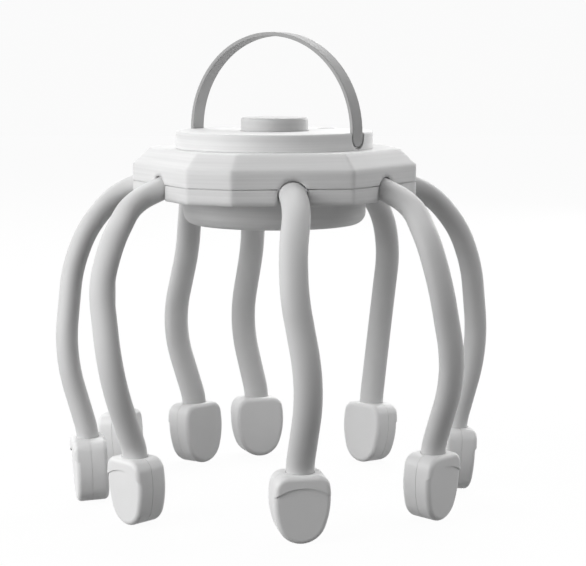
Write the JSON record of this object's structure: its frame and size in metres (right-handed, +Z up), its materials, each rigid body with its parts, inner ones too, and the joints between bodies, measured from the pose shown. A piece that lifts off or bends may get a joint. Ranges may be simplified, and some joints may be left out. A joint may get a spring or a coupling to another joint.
{
  "type": "scalp massager",
  "caption": "Spider-like electric scalp massager: faceted hub with push button and carrying handle, on springy silicone legs with rounded vibrating feet.",
  "frame": {"origin": "on the floor under the middle of the hub, level with the tips of the feet", "axes": "+Z up along the hub's axis, through the button; -Y to the front, where the front leg stands; +X to the right seen from the front"},
  "size_m": [0.1666, 0.1658, 0.1789],
  "materials": {
    "shell_plastic": "fine satin moulding, pale warm grey",
    "silicone": "soft matt silicone, pale grey",
    "foot_plastic": "fine satin moulding, pale warm grey",
    "smoked_lens": "smoked clear plastic, polished",
    "spring_steel": "drawn wire, bright",
    "screw_steel": "zinc plated",
    "board": "lacquered laminate, green",
    "switch_black": "black moulding",
    "cell_wrap": "shrunk film, silver grey",
    "socket_metal": "stamped and plated",
    "motor_can": "plated can"
  },
  "bodies": {
    "hub": {"upper_shell": "shell_plastic", "lower_shell": "shell_plastic", "top_deck": "shell_plastic", "belly_cap": "shell_plastic", "indicator_lens": "smoked_lens", "circuit_board": "board", "tact_switch": "switch_black", "battery": "cell_wrap", "charge_socket": "socket_metal", "shell_screws": "screw_steel", "deck_screws": "screw_steel", "handle_pins": "screw_steel"},
    "handle": {"carry_handle": "shell_plastic"},
    "button": {"mode_button": "shell_plastic", "switch_plunger": "switch_black"},
    "leg_1": {"leg_sleeve_1": "silicone", "leg_core_1": "spring_steel", "foot_outer_1": "foot_plastic", "foot_inner_1": "foot_plastic", "foot_motor_1": "motor_can"},
    "leg_2": {"leg_sleeve_2": "silicone", "leg_core_2": "spring_steel", "foot_outer_2": "foot_plastic", "foot_inner_2": "foot_plastic", "foot_motor_2": "motor_can"},
    "leg_3": {"leg_sleeve_3": "silicone", "leg_core_3": "spring_steel", "foot_outer_3": "foot_plastic", "foot_inner_3": "foot_plastic", "foot_motor_3": "motor_can"},
    "leg_4": {"leg_sleeve_4": "silicone", "leg_core_4": "spring_steel", "foot_outer_4": "foot_plastic", "foot_inner_4": "foot_plastic", "foot_motor_4": "motor_can"},
    "leg_5": {"leg_sleeve_5": "silicone", "leg_core_5": "spring_steel", "foot_outer_5": "foot_plastic", "foot_inner_5": "foot_plastic", "foot_motor_5": "motor_can"},
    "leg_6": {"leg_sleeve_6": "silicone", "leg_core_6": "spring_steel", "foot_outer_6": "foot_plastic", "foot_inner_6": "foot_plastic", "foot_motor_6": "motor_can"},
    "leg_7": {"leg_sleeve_7": "silicone", "leg_core_7": "spring_steel", "foot_outer_7": "foot_plastic", "foot_inner_7": "foot_plastic", "foot_motor_7": "motor_can"},
    "leg_8": {"leg_sleeve_8": "silicone", "leg_core_8": "spring_steel", "foot_outer_8": "foot_plastic", "foot_inner_8": "foot_plastic", "foot_motor_8": "motor_can"},
    "leg_9": {"leg_sleeve_9": "silicone", "leg_core_9": "spring_steel", "foot_outer_9": "foot_plastic", "foot_inner_9": "foot_plastic", "foot_motor_9": "motor_can"}
  },
  "joints": [
    {"name": "button_press", "type": "slide", "parent": "hub", "child": "button", "axis": [0, 0, -1], "range_m": [0, 0.001], "stiffness_N_per_m": 1500},
    {"name": "handle_rock", "type": "hinge", "parent": "hub", "child": "handle", "pos_m": [0, 0, 0.1399], "axis": [0.829, -0.5592, 0], "range_deg": [-15, 15]},
    {"name": "leg_flex_1", "type": "hinge", "parent": "hub", "child": "leg_1", "pos_m": [0.00621, -0.04626, 0.1228], "axis": [-0.9911, -0.1331, 0], "range_deg": [-3, 10], "stiffness_Nm_per_rad": 1.2},
    {"name": "leg_flex_2", "type": "hinge", "parent": "hub", "child": "leg_2", "pos_m": [0.03881, -0.02511, 0.1228], "axis": [-0.5432, -0.8396, 0], "range_deg": [-3, 10], "stiffness_Nm_per_rad": 1.2},
    {"name": "leg_flex_3", "type": "hinge", "parent": "hub", "child": "leg_3", "pos_m": [0.04804, 0.00864, 0.1228], "axis": [0.1771, -0.9842, 0], "range_deg": [-3, 10], "stiffness_Nm_per_rad": 1.2},
    {"name": "leg_flex_4", "type": "hinge", "parent": "hub", "child": "leg_4", "pos_m": [0.02965, 0.03661, 0.1228], "axis": [0.7771, -0.6293, 0], "range_deg": [-3, 10], "stiffness_Nm_per_rad": 1.2},
    {"name": "leg_flex_5", "type": "hinge", "parent": "hub", "child": "leg_5", "pos_m": [-0.0017, 0.04873, 0.1228], "axis": [0.9994, 0.0349, 0], "range_deg": [-3, 10], "stiffness_Nm_per_rad": 1.2},
    {"name": "leg_flex_6", "type": "hinge", "parent": "hub", "child": "leg_6", "pos_m": [-0.02661, 0.04259, 0.1228], "axis": [0.848, 0.5299, 0], "range_deg": [-3, 10], "stiffness_Nm_per_rad": 1.2},
    {"name": "leg_flex_7", "type": "hinge", "parent": "hub", "child": "leg_7", "pos_m": [-0.04129, 0.02891, 0.1228], "axis": [0.5736, 0.8192, 0], "range_deg": [-3, 10], "stiffness_Nm_per_rad": 1.2},
    {"name": "leg_flex_8", "type": "hinge", "parent": "hub", "child": "leg_8", "pos_m": [-0.04912, 0.01044, 0.1228], "axis": [0.2079, 0.9781, 0], "range_deg": [-3, 10], "stiffness_Nm_per_rad": 1.2},
    {"name": "leg_flex_9", "type": "hinge", "parent": "hub", "child": "leg_9", "pos_m": [-0.04052, -0.02069, 0.1228], "axis": [-0.4548, 0.8906, 0], "range_deg": [-3, 10], "stiffness_Nm_per_rad": 1.2}
  ]
}
